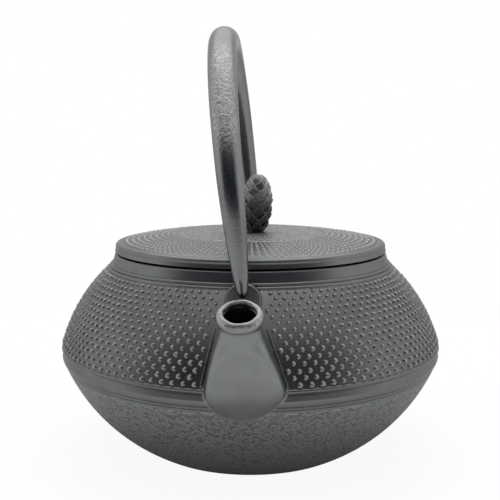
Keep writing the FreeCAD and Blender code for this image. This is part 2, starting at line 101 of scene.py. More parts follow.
def piece(name, points, faces, sharp=40):
    """A smooth-shaded object from points and faces, with edges sharper than an angle kept crisp."""
    mesh = bpy.data.meshes.new(name)
    mesh.from_pydata(np.reshape(points, (-1, 3)).tolist(), [], faces)
    mesh.polygons.foreach_set("use_smooth", np.ones(len(mesh.polygons), bool))
    mesh.set_sharp_from_angle(angle=math.radians(sharp))
    made = bpy.data.objects.new(name, mesh)
    bpy.context.collection.objects.link(made)
    return made


def turned(profile, columns):
    """Points of a profile (radius, height) carried round the Z axis: (r cos a, r sin a, z)."""
    angle = np.arange(columns) * 2 * math.pi / columns
    radius, height = profile[:, :1], profile[:, 1:]
    return np.stack(np.broadcast_arrays(radius * np.cos(angle), radius * np.sin(angle), height), axis=-1)


def caps(rows, columns):
    """The first and last row of an open grid as two faces that close it."""
    first = list(range(columns))[::-1]
    last = list(range((rows - 1) * columns, rows * columns))
    return [first, last]


class Wire:
    """A shader socket that does arithmetic: an expression on values adds its Math nodes to the tree."""

    def __init__(self, tree, socket):
        self.tree = tree
        self.socket = socket

    def node(self, kind, settings, inputs, output=0):
        """A node of any kind: its settings are set first, then its sockets get values or links."""
        made = self.tree.nodes.new(kind)
        for key, item in settings.items():
            setattr(made, key, item)
        for key, item in inputs.items():
            if isinstance(item, Wire):
                self.tree.links.new(item.socket, made.inputs[key])
            else:
                made.inputs[key].default_value = item
        return Wire(self.tree, made.outputs[output])

    def math(self, operation, first, second=0.0):
        return self.node("ShaderNodeMath", {"operation": operation}, {0: first, 1: second})

    def __add__(self, other):
        return self.math("ADD", self, other)

    def __sub__(self, other):
        return self.math("SUBTRACT", self, other)

    def __rsub__(self, other):
        return self.math("SUBTRACT", other, self)

    def __mul__(self, other):
        return self.math("MULTIPLY", self, other)

    def __truediv__(self, other):
        return self.math("DIVIDE", self, other)

    __radd__ = __add__
    __rmul__ = __mul__

    def part(self, axis):
        """One of a vector's components."""
        return self.node("ShaderNodeSeparateXYZ", {}, {0: self}, axis)

    def length(self, weights):
        """The length of a vector once each component is multiplied by its weight."""
        scaled = self.node("ShaderNodeVectorMath", {"operation": "MULTIPLY"}, {0: self, 1: weights})
        return self.node("ShaderNodeVectorMath", {"operation": "LENGTH"}, {0: scaled}, 1)

    def step(self, low, high):
        """0 below low and 1 above high, with a smooth step between."""
        return self.node("ShaderNodeMapRange", {"interpolation_type": "SMOOTHSTEP"},
                         {"Value": self, "From Min": low, "From Max": high})

    def noise(self, size, detail=3.0, roughness=0.6):
        """Cloudy noise over the surface with lumps of about that size, from 0 to 1."""
        return self.node("ShaderNodeTexNoise", {}, {"Vector": self, "Scale": 1 / size, "Detail": detail,
                                                    "Roughness": roughness})

    def between(self, start, end):
        """A colour that goes from start at 0 to end at 1; each is a colour or another wire."""
        ends = [item if isinstance(item, Wire) else (*item, 1.0) for item in (start, end)]
        return self.node("ShaderNodeMix", {"data_type": "RGBA"}, {0: self, 6: ends[0], 7: ends[1]}, 2)


def material(name, **constants):
    """A new material with constant sockets set, its Principled shader, and the Object coordinates to read."""
    look = bpy.data.materials.new(name)
    look.use_nodes = True
    shader = look.node_tree.nodes["Principled BSDF"]
    for key, item in constants.items():
        shader.inputs[key.replace("_", " ")].default_value = item
    place = look.node_tree.nodes.new("ShaderNodeTexCoord").outputs["Object"]
    return look, shader, Wire(look.node_tree, place)


def feed(shader, wires):
    """Links wires into a shader's sockets."""
    for key, wire in wires.items():
        wire.tree.links.new(wire.socket, shader.inputs[key])


IRON_TINT = np.array([0.965, 1.0, 1.015])
# Colour of bare metal, used for real wear and for painted highlights
BARE_METAL_AND_SHEEN = (0.52, 0.51, 0.49)
EDGE_TINT = (0.64, 0.64, 0.64, 1.0)
CAST_GRAIN = 0.9 * MM
STONE_GRAIN = 1.6 * MM
CLOUDS = 14.0 * MM
RELIEF = 0.5 * MM
RELIEF_STRENGTH = 0.55
STONE_RELIEF = 1.3
# Noise from which the stone's lumps, the pits, and the bare metal of wear and painted highlight start to
# show, and where they show fully
LUMP_STEP = (0.40, 0.60)
PIT_STEP = (0.62, 0.80)
WEAR_AND_SHEEN_STEP = (0.30, 0.66)
# The lacquer's colour at shade 0 and at shade 1, as a share of its tone
SHADE_ENDS = (0.45, 1.45)
# The least shade of smooth iron and what its grain and clouds add, and that of stone and what its lumps add
SMOOTH_SHADES = (0.15, 0.35, 0.35)
STONE_SHADES = (0.55, 1.25)
# What the grain, the stone, and the bare metal of wear and painted highlight add to the roughness
ROUGHER = (0.14, 0.12, 0.25)
# The painted highlight on the bead tips: its strength, and the heights on a bead where it starts and is full
BEAD_HIGHLIGHT = 0.9
BEAD_HIGHLIGHT_HEIGHTS = (0.3, 1.0)
# How much darker the colour is made over the dotted shoulder
SHOULDER_DARKER = 0.12


def nowhere(place):
    """A mask that is 0 all over."""
    return 0.0 * place.part("Z")


def iron(name, tone, gloss, grain=0.12, pits=0.25, stone=nowhere, wear_and_sheen=nowhere, darkened=nowhere):
    """Lacquered iron: a cool grey sheen with a fine cast grain and pale pits.

    From the coordinates, stone gives where it is rough like stone, the next mask where it shows bare metal,
    as real wear in some places and as a painted highlight in others, and the last how much darker its colour
    is made, partly as painted shade.
    """
    look, shader, place = material(name, Metallic=1.0, Specular_Tint=EDGE_TINT)
    speck = place.noise(CAST_GRAIN, 4.0, 0.65)
    stony = stone(place)
    mottle = place.noise(STONE_GRAIN).step(*LUMP_STEP)
    smooth_shade = SMOOTH_SHADES[0] + SMOOTH_SHADES[1] * speck + SMOOTH_SHADES[2] * place.noise(CLOUDS)
    stone_shade = STONE_SHADES[0] + STONE_SHADES[1] * mottle
    # The colour is made darker where the last mask says, partly as painted shade
    shade = smooth_shade * (1.0 - stony) + stone_shade * stony + speck.step(*PIT_STEP) * pits - darkened(place)
    lacquer = shade.between(*(tuple(end * tone * IRON_TINT) for end in SHADE_ENDS))
    # Bare metal, speckled by the grain: real wear in some places, a painted highlight in others
    bare_and_sheen = wear_and_sheen(place) * speck.step(*WEAR_AND_SHEEN_STEP)
    relief = grain * speck * (1.0 - stony) + STONE_RELIEF * mottle * stony
    bump = {"Strength": RELIEF_STRENGTH, "Distance": RELIEF, "Height": relief}
    feed(shader, {
        "Base Color": bare_and_sheen.between(lacquer, BARE_METAL_AND_SHEEN),
        "Roughness": gloss + ROUGHER[0] * (speck - 0.5) + ROUGHER[1] * stony + ROUGHER[2] * bare_and_sheen,
        "Normal": place.node("ShaderNodeBump", {}, bump),
    })
    return look


def belly_stone(place):
    """All of the pot below the belt's lines."""
    return 1.0 - place.part("Z").step(STONE_TOP - 0.8 * MM, STONE_TOP + 0.4 * MM)


def shoulder_dark(place):
    """The dotted shoulder, between the ridge and the mouldings."""
    height = place.part("Z")
    foot, top = RIDGE_HEAD[1], SHOULDER_TOP[1]
    return SHOULDER_DARKER * (height.step(foot - MM, foot + MM) - height.step(top - MM, top))


def bead_tip_highlight(place):
    """The tips of the beads, lightened as a painted highlight, from the height each mesh of beads keeps."""
    height = place.node("ShaderNodeAttribute", {"attribute_name": "bead_height"}, {}, "Fac")
    return BEAD_HIGHLIGHT * height.step(*BEAD_HIGHLIGHT_HEIGHTS)


def pot_piece(made, look):
    """Fixes a piece of the pot to its body and gives it its finish."""
    made.data.materials.append(look)
    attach(made, "pot")
    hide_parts("pot_belly", "pot_shoulder", "spout")


moulding_end = SHOULDER_TOP + 2 * MOULDING
neck_lean = (NECK_TOP - moulding_end) / (NECK_TOP - moulding_end)[1]
brim_start = NECK_TOP - BRIM_ROUND * neck_lean
brim_end = NECK_TOP - (BRIM_ROUND, 0)
outer_wall = np.vstack([
    arc((BASE_RADIUS, 0), BELT_FOOT, BELLY_BULGE, 70, crowd=1.7),
    arc(BELT_FOOT, BELT_LINE, 0, 24),
    arc(BELT_LINE, BELT_EDGE, BELT_BULGE, 14),
    arc(BELT_EDGE, RIDGE_FOOT, 0, 18),
    arc(RIDGE_FOOT, RIDGE_HEAD, RIDGE_BULGE, 14),
    arc(RIDGE_HEAD, SHOULDER_TOP, SHOULDER_BULGE, 36),
    arc(SHOULDER_TOP, SHOULDER_TOP + MOULDING, MOULDING_BULGE, 8),
    arc(SHOULDER_TOP + MOULDING, moulding_end, MOULDING_BULGE, 8),
    arc(moulding_end, brim_start, 0, 6),
])
cuts = GROOVES[:, 2] * np.exp(-((outer_wall[:, 1:] - GROOVES[:, 0]) / GROOVES[:, 1]) ** 2)
grooved_wall = outer_wall - np.stack([cuts.sum(axis=1), np.zeros(len(outer_wall))], axis=1)
inner_waist = np.array([RIDGE_HEAD[0] - WALL, (RIDGE_FOOT[1] + RIDGE_HEAD[1]) / 2])
inner_belt = BELT_FOOT - (WALL, 0)
hollow = np.vstack([
    arc(brim_start, brim_end, BRIM_ROUND / 4, 6),
    arc(brim_end, (LID_SEAT[0], NECK_TOP[1]), 0, 2),
    arc((LID_SEAT[0], NECK_TOP[1]), LID_SEAT, 0, 2),
    arc(LID_SEAT, (STRAINER_SEAT[0], LID_SEAT[1]), 0, 2),
    arc((STRAINER_SEAT[0], LID_SEAT[1]), STRAINER_SEAT, 0, 2),
    arc(STRAINER_SEAT, (THROAT[0], STRAINER_SEAT[1]), 0, 2),
    arc((THROAT[0], STRAINER_SEAT[1]), THROAT, 0, 2),
    arc(THROAT, SHOULDER_TOP - WALL, 0, 2),
    arc(SHOULDER_TOP - WALL, inner_waist, -SHOULDER_BULGE, 16),
    arc(inner_waist, inner_belt, 0, 4),
    arc(inner_belt, (BASE_RADIUS, FLOOR), -BELLY_BULGE, 16),
    [(BASE_RADIUS, FLOOR)],
])
shell_profile = np.vstack([grooved_wall, hollow])
shell_faces = grid_faces(len(shell_profile), SHELL_COLUMNS, False).tolist()
pot_shell = piece("pot_shell", turned(shell_profile, SHELL_COLUMNS),
                  shell_faces + caps(len(shell_profile), SHELL_COLUMNS))
# The bead tips get a painted highlight, and the dotted shoulder a darker colour
pot_iron = iron("pot iron", 0.172, 0.36, stone=belly_stone, wear_and_sheen=bead_tip_highlight, darkened=shoulder_dark)
pot_piece(pot_shell, pot_iron)


# Spout. A short flared cone cast in one with the wall, set a little askew, and rubbed smooth. Its thick
# rolled lip is worn to bare metal on top, and its bore runs down through the wall into the hollow.
MOUTH = np.array([0.0, -97.0, 82.0]) * MM
SPOUT_ELEVATION = math.radians(64)
# Rings of the spout, by their distance back from the mouth: half widths and depths, how square they are (2 is
# an ellipse), shifts to the right, tilts, and turns that bring them level at the root
SPOUT_STOPS = np.array([0.0, 8.0, 19.0, 30.0, 40.0, 50.0]) * MM
SPOUT_HALF_WIDTHS = np.array([8.1, 8.1, 11.2, 14.5, 16.4, 15.3]) * MM
SPOUT_HALF_DEPTHS = np.array([8.1, 8.1, 9.3, 10.55, 11.0, 9.6]) * MM
SPOUT_SQUARE = np.array([2.0, 2.0, 3.6, 4.4, 3.4, 2.2])
SPOUT_SHIFTS = np.array([0.0, 0.0, 0.1, 1.0, 1.3, 1.3]) * MM
SPOUT_TILTS = np.radians([0.0, 0.0, 3.0, 1.2, 3.1, 3.1])
SPOUT_TURNS = np.radians([0.0, 0.0, 21.0, 26.0, 26.0, 26.0])
BORE_STOPS = np.array([0.0, 8.0, 28.0, 46.5]) * MM
BORE_HALF_WIDTHS = np.array([6.2, 6.2, 9.8, 14.0]) * MM
BORE_HALF_DEPTHS = np.array([6.2, 6.2, 8.0, 7.0]) * MM
SPOUT_DEEPEST = 54.0 * MM
SPOUT_FILLET = 0.6 * MM
SPOUT_SINK = 1.2 * MM
# The soft hollow round the spout under its lip: its depth, its middle and its half width
UNDERCUT = np.array([0.55, 5.4, 2.2]) * MM
LIP_RING = 7.45 * MM
LIP_BACK = 1.8 * MM
LIP_HALF_THICK = 1.40 * MM
LIP_HALF_TALL = 1.80 * MM
LIP_SLOPE = 0.55
LIP_FIRST, LIP_LAST = math.radians(62), math.radians(-215)
LIP_ROWS = 30
# How far the lip waves along the axis, and how far it is out of round, in two waves each
LIP_WAVES = np.array([0.10, 0.07]) * MM
LIP_OUT_OF_ROUND = (0.008, 0.006)
LIP_WEAR = 0.75
# Where the wear of the lip starts and is full, below the mouth
LIP_WEAR_REACH = np.array([2.1, 1.0]) * MM
SKIN_END = 3.8 * MM
BORE_START = 2.4 * MM
BORE_SLACK = 0.05 * MM
SPOUT_COLUMNS = 144
spout_axis = np.array([0.0, -math.cos(SPOUT_ELEVATION), math.sin(SPOUT_ELEVATION)])


def through(x, stops, heights):
    """A smooth curve through points: cubic Hermite pieces, with slopes averaged from the chords beside."""
    slopes = np.gradient(heights, stops)
    lower = np.clip(np.searchsorted(stops, x) - 1, 0, len(stops) - 2)
    span = stops[lower + 1] - stops[lower]
    t = (x - stops[lower]) / span
    ends = (1 + 2 * t) * (1 - t) ** 2 * heights[lower] + t * t * (3 - 2 * t) * heights[lower + 1]
    return ends + span * (t * (1 - t) ** 2 * slopes[lower] - t * t * (1 - t) * slopes[lower + 1])


def squared(wave, square):
    """A cosine or sine c turned into sign(c) |c|^(2 / square), which fills an ellipse's corners."""
    return np.sign(wave) * np.abs(wave) ** (2 / square)


def spout_ring(angle, back, half_width, half_depth, square=2.0, askew=0.0):
    """A point of a ring about the spout's axis: mouth - back * axis + w cos a * sideways + d sin a * across.

    The cosine and sine are squared up. Askew is how much of the spout's shift to the right, of its tilt about
    Y and of its turn to the level the ring has.
    """
    tilt = askew * through(back, SPOUT_STOPS, SPOUT_TILTS)
    shift = askew * through(back, SPOUT_STOPS, SPOUT_SHIFTS)
    lean = SPOUT_ELEVATION + askew * through(back, SPOUT_STOPS, SPOUT_TURNS)
    side, rise = half_width * squared(np.cos(angle), square), half_depth * squared(np.sin(angle), square)
    level, upward = rise * np.sin(lean), rise * np.cos(lean)
    offset = np.broadcast_arrays(shift + side * np.cos(tilt) - upward * np.sin(tilt), level,
                                 side * np.sin(tilt) + upward * np.cos(tilt))
    return MOUTH - back[..., None] * spout_axis + np.stack(offset, axis=-1)


def spout_skin(angle, back):
    """A point of the flared skin, hollowed under the lip by depth * exp(-((back - middle) / width)^2)."""
    hollowed = UNDERCUT[0] * np.exp(-((back - UNDERCUT[1]) / UNDERCUT[2]) ** 2)
    return spout_ring(angle, back, through(back, SPOUT_STOPS, SPOUT_HALF_WIDTHS) - hollowed,
                      through(back, SPOUT_STOPS, SPOUT_HALF_DEPTHS) - hollowed,
                      through(back, SPOUT_STOPS, SPOUT_SQUARE), 1.0)


def bore_skin(angle, back, wider=0.0):
    """A point of the spout's bore, or of a form a little wider."""
    return spout_ring(angle, back, through(back, BORE_STOPS, BORE_HALF_WIDTHS) + wider,
                      through(back, BORE_STOPS, BORE_HALF_DEPTHS) + wider)


def wall_radius(height):
    """The pot's outer radius at a height."""
    return np.interp(height, outer_wall[:, 1], outer_wall[:, 0])


def wall_normal(points):
    """The wall's outward direction beside points: (cos a, sin a, -dr/dz), made one long."""
    slope = np.interp(points[..., 2], outer_wall[:, 1], np.gradient(outer_wall[:, 0], outer_wall[:, 1]))
    level = points[..., :2] / np.linalg.norm(points[..., :2], axis=-1, keepdims=True)
    normal = np.concatenate([level, -slope[..., None]], axis=-1)
    return normal / np.linalg.norm(normal, axis=-1, keepdims=True)


def on_wall(points):
    """Points moved level onto the pot's wall."""
    scale = wall_radius(points[..., 2]) / np.linalg.norm(points[..., :2], axis=-1)
    return points * np.stack([scale, scale, np.ones_like(scale)], axis=-1)


def reach_wall(skin, angle):
    """How far back from the mouth each line of a skin meets the pot's wall, found by halving."""
    near, far = np.zeros_like(angle), np.full_like(angle, SPOUT_DEEPEST)
    for _ in range(40):
        middle = (near + far) / 2
        points = skin(angle, middle)
        free = np.linalg.norm(points[:, :2], axis=1) > wall_radius(points[:, 2])
        near, far = np.where(free, middle, near), np.where(free, far, middle)
    return near


spout_angle = np.arange(SPOUT_COLUMNS) * 2 * math.pi / SPOUT_COLUMNS
meeting = reach_wall(spout_skin, spout_angle)
seam = spout_skin(spout_angle, meeting)
seam_normal = wall_normal(seam)
seam_along = np.roll(seam, -1, axis=0) - np.roll(seam, 1, axis=0)
seam_out = np.cross(seam_along, seam_normal)
seam_out /= np.linalg.norm(seam_out, axis=1, keepdims=True)
fillet_top = spout_skin(spout_angle, meeting - SPOUT_FILLET)
fillet_foot = on_wall(seam + SPOUT_FILLET * seam_out)
bend = np.linspace(1, 0, 6)[:, None, None]
fillet = bend ** 2 * fillet_foot + 2 * bend * (1 - bend) * seam + (1 - bend) ** 2 * fillet_top
climb = np.linspace(0, 1, 48)[1:, None]
lip_turn = np.linspace(LIP_FIRST, LIP_LAST, LIP_ROWS)[:, None]
lip_wave = LIP_WAVES[0] * np.sin(3 * spout_angle + 0.5) + LIP_WAVES[1] * np.sin(7 * spout_angle + 2)
lip_out = LIP_HALF_THICK * np.cos(lip_turn)
lip_back = LIP_BACK + LIP_HALF_TALL * np.sin(lip_turn) + LIP_SLOPE * lip_out + lip_wave
lip_worn = (1 + LIP_OUT_OF_ROUND[0] * np.sin(2 * spout_angle + 1)
            + LIP_OUT_OF_ROUND[1] * np.sin(5 * spout_angle))
lip_ring = (LIP_RING + lip_out) * lip_worn
bore_end = reach_wall(bore_skin, spout_angle) + SPOUT_SINK
descent = np.linspace(0, 1, 20)[:, None]
spout_points = np.concatenate([
    (fillet_foot - SPOUT_SINK * seam_normal)[None],
    fillet,
    spout_skin(spout_angle, (1 - climb) * (meeting - SPOUT_FILLET) + climb * SKIN_END),
    spout_ring(spout_angle, lip_back, lip_ring, lip_ring),
    bore_skin(spout_angle, (1 - descent) * BORE_START + descent * bore_end),
])
spout = piece("spout_horn", spout_points, grid_faces(len(spout_points), SPOUT_COLUMNS, True).tolist())


def lip_rub(place):
    """Strongest on the top of the lip, fading down its outside: how far a point stands along the axis."""
    ends = {0: place, 1: tuple(spout_axis)}
    stand = place.node("ShaderNodeVectorMath", {"operation": "DOT_PRODUCT"}, ends, 1)
    mouth = float(MOUTH @ spout_axis)
    return LIP_WEAR * stand.step(*(mouth - LIP_WEAR_REACH).tolist())


spout_iron = iron("spout iron", 0.24, 0.38, grain=0.04, pits=0.10, wear_and_sheen=lip_rub)
pot_piece(spout, spout_iron)

BORE_ROWS = 24
bore_back = np.linspace(BORE_STOPS[-1], -LIP_HALF_TALL, BORE_ROWS)[:, None] + 0 * spout_angle
bore = piece("bore", bore_skin(spout_angle, bore_back, BORE_SLACK),
             grid_faces(BORE_ROWS, SPOUT_COLUMNS, False).tolist() + caps(BORE_ROWS, SPOUT_COLUMNS))
hole = pot_shell.modifiers.new("spout hole", "BOOLEAN")
hole.operation = "DIFFERENCE"
hole.solver = "EXACT"
hole.object = bore
pierced = bpy.data.meshes.new_from_object(pot_shell.evaluated_get(bpy.context.evaluated_depsgraph_get()))
pot_shell.modifiers.clear()
pot_shell.data = pierced
bpy.data.objects.remove(bore)


# Lugs. Two half-round tabs cast on the shoulder before and behind the neck, their edges rounded, each with a
# hole that a hook of the bail turns in. Their lower halves are sunk in the wall.
HINGE_HEIGHT = 84.2 * MM
LUG_HEIGHT = 80.8 * MM
LUG_REACH = 72.0 * MM
LUG_THICKNESS = 4.0 * MM
LUG_RADIUS = 7.4 * MM
LUG_EDGE = 1.2 * MM
LUG_HOLE = 1.8 * MM
LUG_COLUMNS = 96
lug_angle = np.arange(LUG_COLUMNS) * 2 * math.pi / LUG_COLUMNS
edge_turn = np.linspace(0, math.pi / 2, 8)
front_edge = np.column_stack([LUG_RADIUS - LUG_EDGE + LUG_EDGE * np.sin(edge_turn),
                              LUG_EDGE - LUG_EDGE * np.cos(edge_turn)])
lug_edges = np.vstack([front_edge, front_edge[::-1] * (1, -1) + (0, LUG_THICKNESS)])
# Each ring of a lug: its radius, its depth behind the outer face, and its centre's height
lug_rings = np.vstack([
    [(LUG_HOLE, 0, HINGE_HEIGHT)],
    np.column_stack([lug_edges, np.full(len(lug_edges), LUG_HEIGHT)]),
    [(LUG_HOLE, LUG_THICKNESS, HINGE_HEIGHT)],
])
radius, depth, centre = (lug_rings[:, k:k + 1] for k in range(3))
for side, lug_name in ((-1, "front_lug"), (1, "rear_lug")):
    lug_points = np.stack(np.broadcast_arrays(radius * np.cos(lug_angle), side * (LUG_REACH - depth),
                                              centre + radius * np.sin(lug_angle)), axis=-1)
    lug = piece(lug_name, lug_points[::side], grid_faces(len(lug_rings), LUG_COLUMNS, True).tolist())
    pot_piece(lug, pot_iron)


# Shoulder dots. Staggered rows of small pointed beads, pressed one by one into the mould and smaller towards
# the neck. They leave a plain strip beside the spout, edged by a thin raised line, and one round each lug.
DOTS_ROUND = 120
DOT_ROWS = 15
DOT_RADIUS = 1.42 * MM
DOT_HEIGHT = 0.90 * MM
DOT_JITTER = 0.10 * MM
DOT_SPREAD = (0.88, 1.08)
DOT_SINK = 0.10 * MM
SHOULDER_MARGIN = np.array([1.3, 1.1]) * MM
LUG_STRIP = 2.0 * MM
STRIP_LINE = 0.45 * MM
# Heights of a strip line's two ends, and how far each lies to the left and to the right of the middle
STRIP_HEIGHTS = np.array([49.9, 71.0]) * MM
STRIP_SIDES = {
    "left_strip_line": np.array([-15.6, -10.8]) * MM,
    "right_strip_line": np.array([17.8, 9.8]) * MM,
}
STRIP_WIDER = 1.3
STRIP_ROWS = 40
# Rings of one bead from its foot up: share of its radius and of its height
BEAD_RINGS = np.array([[1.0, 0.0], [0.70, 0.46], [0.36, 0.88]])
BEAD_SIDES = 8
rng = np.random.default_rng(5)


def beads(name, centres, normals, radii, heights):
    """One mesh of small pointed domes: rings of points round each centre, and a point at its top.

    A point is centre + radius (cos a * level + sin a * up) + height * normal, level and up along the surface.
    """
    turn = np.arange(BEAD_SIDES) * 2 * math.pi / BEAD_SIDES
    ring = np.stack([np.outer(BEAD_RINGS[:, 0], np.cos(turn)), np.outer(BEAD_RINGS[:, 0], np.sin(turn)),
                     np.outer(BEAD_RINGS[:, 1], np.ones(BEAD_SIDES))], axis=-1).reshape(-1, 3)
    bead = np.vstack([ring, [(0, 0, 1)]])
    level = np.cross((0.0, 0.0, 1.0), centres)
    level /= np.linalg.norm(level, axis=1, keepdims=True)
    up = np.cross(normals, level)
    reach = radii[:, None, None]
    points = (centres[:, None] + reach * (bead[:, :1] * level[:, None] + bead[:, 1:2] * up[:, None])
              + heights[:, None, None] * bead[:, 2:] * normals[:, None])
    quads = grid_faces(len(BEAD_RINGS), BEAD_SIDES, False)
    last = (len(BEAD_RINGS) - 1) * BEAD_SIDES
    column = np.arange(BEAD_SIDES)
    tip = np.full(BEAD_SIDES, len(bead) - 1)
    tips = np.stack([last + column, last + (column + 1) % BEAD_SIDES, tip], axis=1)
    first = np.arange(len(centres))[:, None, None] * len(bead)
    faces = (first + quads).reshape(-1, 4).tolist() + (first + tips).reshape(-1, 3).tolist()
    made = piece(name, points, faces, sharp=80)
    kept = made.data.attributes.new("bead_height", "FLOAT", "POINT")
    kept.data.foreach_set("value", np.tile(bead[:, 2], len(centres)))
    return made


shoulder = arc(RIDGE_HEAD, SHOULDER_TOP, SHOULDER_BULGE, 200)
travel = np.concatenate([[0], np.cumsum(np.linalg.norm(np.diff(shoulder, axis=0), axis=1))])
row_travel = np.linspace(SHOULDER_MARGIN[0], travel[-1] - SHOULDER_MARGIN[1], DOT_ROWS)
row_height = np.interp(row_travel, travel, shoulder[:, 1])[:, None]
dot_turn = (np.arange(DOTS_ROUND) + 0.5 * (np.arange(DOT_ROWS)[:, None] % 2)) * 2 * math.pi / DOTS_ROUND
dot_radius = wall_radius(row_height)
dots = np.stack(np.broadcast_arrays(dot_radius * np.cos(dot_turn), dot_radius * np.sin(dot_turn), row_height),
                axis=-1)
dots = on_wall(dots.reshape(-1, 3) + rng.normal(0, DOT_JITTER, (DOT_ROWS * DOTS_ROUND, 3)))
up_strip = (dots[:, 2] - STRIP_HEIGHTS[0]) / (STRIP_HEIGHTS[1] - STRIP_HEIGHTS[0])
strip_left, strip_right = (ends[0] + up_strip * (ends[1] - ends[0]) for ends in STRIP_SIDES.values())
in_strip = (dots[:, 1] < 0) & (dots[:, 0] > strip_left - DOT_RADIUS) & (dots[:, 0] < strip_right + DOT_RADIUS)
beside_lug = (np.abs(dots[:, 0]) < LUG_RADIUS + LUG_STRIP) & (dots[:, 2] > LUG_HEIGHT - LUG_RADIUS)
dots = dots[~in_strip & ~beside_lug]
dot_normal = wall_normal(dots)
dot_scale = np.linalg.norm(dots[:, :2], axis=1) / RIDGE_HEAD[0] * rng.uniform(*DOT_SPREAD, len(dots))
shoulder_dots = beads("shoulder_dots", dots - DOT_SINK * dot_normal, dot_normal, DOT_RADIUS * dot_scale,
                      (DOT_HEIGHT + DOT_SINK) * dot_scale)
pot_piece(shoulder_dots, pot_iron)


def swept(path, side, up, half_side, half_up, columns):
    """Points of a tube on a path: path + a cos t * side + b sin t * up, with side x up pointing along it."""
    turn = np.arange(columns) * 2 * math.pi / columns
    return (path[:, None] + half_side[:, None, None] * np.cos(turn)[:, None] * side[:, None]
            + half_up[:, None, None] * np.sin(turn)[:, None] * up[:, None])


for strip_name, ends in STRIP_SIDES.items():
    rise = np.linspace(*STRIP_HEIGHTS, STRIP_ROWS)
    aside = np.linspace(*ends, STRIP_ROWS)
    path = np.column_stack([aside, -np.sqrt(wall_radius(rise) ** 2 - aside ** 2), rise])
    along = np.gradient(path, axis=0)
    along /= np.linalg.norm(along, axis=1, keepdims=True)
    normal = wall_normal(path)
    half = np.full(len(path), STRIP_LINE)
    strip_points = swept(path, np.cross(normal, along), normal, STRIP_WIDER * half, half, BEAD_SIDES)
    strip_faces = grid_faces(len(path), BEAD_SIDES, False).tolist() + caps(len(path), BEAD_SIDES)
    strip = piece(strip_name, strip_points, strip_faces, sharp=80)
    pot_piece(strip, pot_iron)


# Lid. A cast iron plate, slightly domed, with a rounded rim as wide as the neck and a ring below that sits
# in it. Fine rings of beads cover its outer half, and inside them it is cast rough up to the knob, which is a
# little beside its middle.
LID_SHANK_HOLE = 2.6 * MM
LID_BOSS = 9.0 * MM
LID_CROWN = 100.2 * MM
LID_CEILING = 96.8 * MM
LID_RIM = np.array([63.2, 92.3]) * MM
LID_SHOULDER = np.array([61.2, 96.2]) * MM
LID_RIM_SIDE = np.array([-0.4, 1.9]) * MM
LID_RIM_BULGE = 0.7 * MM
LID_DOME_BULGE = 1.4 * MM
LID_PLATE = 3.4 * MM
KNOB_OFFSET = 2.0 * MM
SEAT_RING_RADII = np.array([55.2, 58.2]) * MM
# Radius, half width and depth of each line round the lid's top
LID_LINES = np.array([[59.6, 0.40, 0.30], [34.2, 0.45, 0.20]]) * MM
LID_DOT_RINGS = np.linspace(36.0, 57.8, 9) * MM
LID_DOT_RADIUS = 1.05 * MM
LID_DOT_HEIGHT = 0.34 * MM
LID_DOT_SPREAD = (0.88, 1.1)
LID_ROUGH = np.array([8.0, 34.6]) * MM
LID_ROUGHER = 0.7
LID_COLUMNS = 240
rim_top = LID_RIM + LID_RIM_SIDE
lid_top = np.vstack([
    arc(rim_top, LID_SHOULDER, LID_RIM_BULGE, 10),
    arc(LID_SHOULDER, (LID_BOSS, LID_CROWN), LID_DOME_BULGE, 150),
])
lines = LID_LINES[:, 2] * np.exp(-((lid_top[:, :1] - LID_LINES[:, 0]) / LID_LINES[:, 1]) ** 2)
lid_profile = np.vstack([
    arc((LID_SHANK_HOLE, LID_CEILING), (LID_BOSS, LID_CEILING), 0, 2),
    arc((LID_BOSS, LID_CEILING), (SEAT_RING_RADII[0], LID_SHOULDER[1] - LID_PLATE), -LID_DOME_BULGE, 24),
    arc((SEAT_RING_RADII[0], LID_SHOULDER[1] - LID_PLATE), (SEAT_RING_RADII[0], LID_SEAT[1]), 0, 2),
    arc((SEAT_RING_RADII[0], LID_SEAT[1]), (SEAT_RING_RADII[1], LID_SEAT[1]), 0, 2),
    arc((SEAT_RING_RADII[1], LID_SEAT[1]), (SEAT_RING_RADII[1], LID_RIM[1]), 0, 2),
    arc((SEAT_RING_RADII[1], LID_RIM[1]), LID_RIM, 0, 3),
    arc(LID_RIM, rim_top, 0, 4),
    lid_top - np.stack([np.zeros(len(lid_top)), lines.sum(axis=1)], axis=1),
    arc((LID_BOSS, LID_CROWN), (LID_SHANK_HOLE, LID_CROWN), 0, 4),
    [(LID_SHANK_HOLE, LID_CROWN)],
])


def lid_rough(place):
    """The ring of the lid's top between the knob and the innermost line."""
    radius = place.length((1.0, 1.0, 0.0))
    inside = radius.step(LID_ROUGH[0] - MM, LID_ROUGH[0] + MM) - radius.step(LID_ROUGH[1] - MM, LID_ROUGH[1])
    return LID_ROUGHER * inside * place.part("Z").step(LID_SHOULDER[1], LID_SHOULDER[1] + MM)


def lid_piece(made):
    """Fixes a piece of the lid to its body and gives it the lid's finish."""
    made.data.materials.append(lid_iron)
    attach(made, "lid")
    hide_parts("lid")


